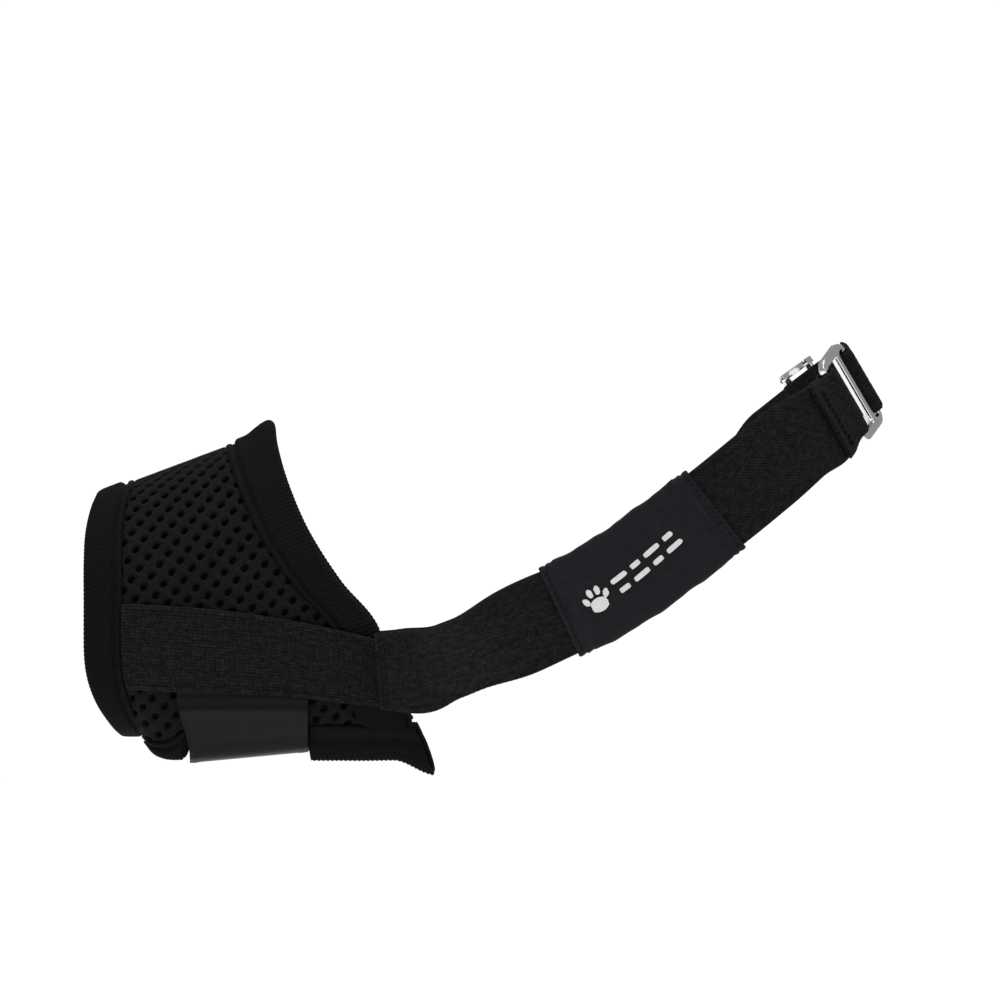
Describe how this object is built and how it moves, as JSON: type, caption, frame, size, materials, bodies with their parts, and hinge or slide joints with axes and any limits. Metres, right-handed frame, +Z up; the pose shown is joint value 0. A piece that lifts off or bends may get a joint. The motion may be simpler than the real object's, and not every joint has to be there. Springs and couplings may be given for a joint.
{
  "type": "soft mesh dog muzzle",
  "caption": "Soft dog muzzle: bound mesh snout tunnel with a chin band, side straps and a neck strap with a ring and slide adjuster.",
  "frame": {"origin": "the middle of the snout tunnel, where the dog's snout holds the muzzle", "axes": "+X from the nose to the nape, +Y to the dog's right side, +Z up over the nose bridge"},
  "size_m": [0.2238, 0.1144, 0.1221],
  "materials": {
    "air_mesh": "matt open spacer mesh",
    "binding": "ribbed matt binding tape",
    "elastic": "smooth with a soft sheen",
    "webbing": "herringbone webbing, fuzzy",
    "satin": "satin with a pale print",
    "thread": "polyester thread",
    "chrome": "bright plate"
  },
  "bodies": {
    "muzzle": {"mesh_panel": "air_mesh", "front_binding": "binding", "rear_binding": "binding", "chin_band": "elastic", "lower_binding_left": "binding", "lower_binding_right": "binding", "side_strap_left": "webbing", "side_strap_right": "webbing", "strap_facing_left": "elastic", "strap_facing_right": "elastic"},
    "neck_loop": {"neck_strap_left": "webbing", "neck_strap_right": "webbing", "label_sleeve": "satin", "junction_seam_left": "thread", "junction_seam_right": "thread", "hem_seam": "thread"},
    "ring": {"nape_ring": "chrome", "ring_loop": "webbing"},
    "adjuster": {"slide_adjuster": "chrome", "return_strap": "webbing"}
  },
  "joints": [
    {"name": "strap_swing", "type": "hinge", "parent": "muzzle", "child": "neck_loop", "pos_m": [0.04, 0, -0.021], "axis": [0, -1, 0], "range_deg": [-20, 20]},
    {"name": "ring_tilt", "type": "hinge", "parent": "neck_loop", "child": "ring", "pos_m": [0.1678, -0.0225, 0.0547], "axis": [-0.4938, -0.2369, 0.8367], "range_deg": [-12, 8]},
    {"name": "adjuster_slide", "type": "slide", "parent": "neck_loop", "child": "adjuster", "axis": [-0.5889, 0.6618, -0.4639], "range_m": [-0.002, 0.01]}
  ]
}
